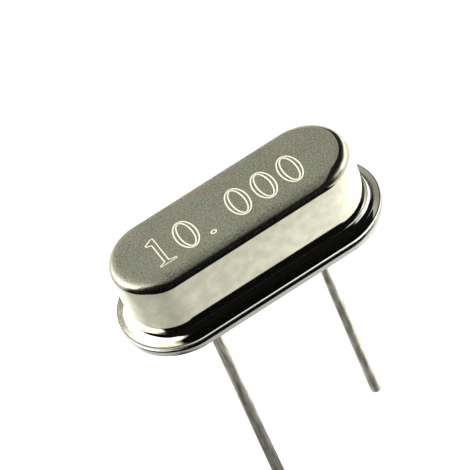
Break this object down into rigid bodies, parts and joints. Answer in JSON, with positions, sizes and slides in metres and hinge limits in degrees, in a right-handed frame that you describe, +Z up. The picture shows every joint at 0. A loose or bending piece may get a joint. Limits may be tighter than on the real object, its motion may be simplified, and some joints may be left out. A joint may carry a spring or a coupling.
{
  "type": "quartz crystal unit",
  "caption": "Low round-ended metal can with a welded flange and two wire leads, holding a quartz strip that sets a circuit's frequency.",
  "frame": {"origin": "middle of the base's underside, where the can sits on a board, midway between the leads", "axes": "+X along the can, +Z up to the can's top, leads along -Z; the marked side of the picture is seen from -Y and above"},
  "size_m": [0.011, 0.0046, 0.0149],
  "materials": {
    "can_metal": "satin nickel-plated sheet, bright on the walls",
    "base_metal": "satin nickel-plated stamping",
    "seal_glass": "dark green fired glass",
    "lead_tin": "dipped tin, smooth with a soft shine",
    "clip_metal": "bright spring strip",
    "quartz": "clear lapped quartz",
    "silver_film": "evaporated silver",
    "silver_adhesive": "matt silver-filled resin"
  },
  "bodies": {
    "root": {"cap": "can_metal", "base": "base_metal", "glass_seal_left": "seal_glass", "glass_seal_right": "seal_glass", "lead_left": "lead_tin", "lead_right": "lead_tin", "support_clip_left": "clip_metal", "support_clip_right": "clip_metal", "quartz_blank": "quartz", "electrode_top": "silver_film", "electrode_bottom": "silver_film", "adhesive_left": "silver_adhesive", "adhesive_right": "silver_adhesive"}
  },
  "joints": []
}
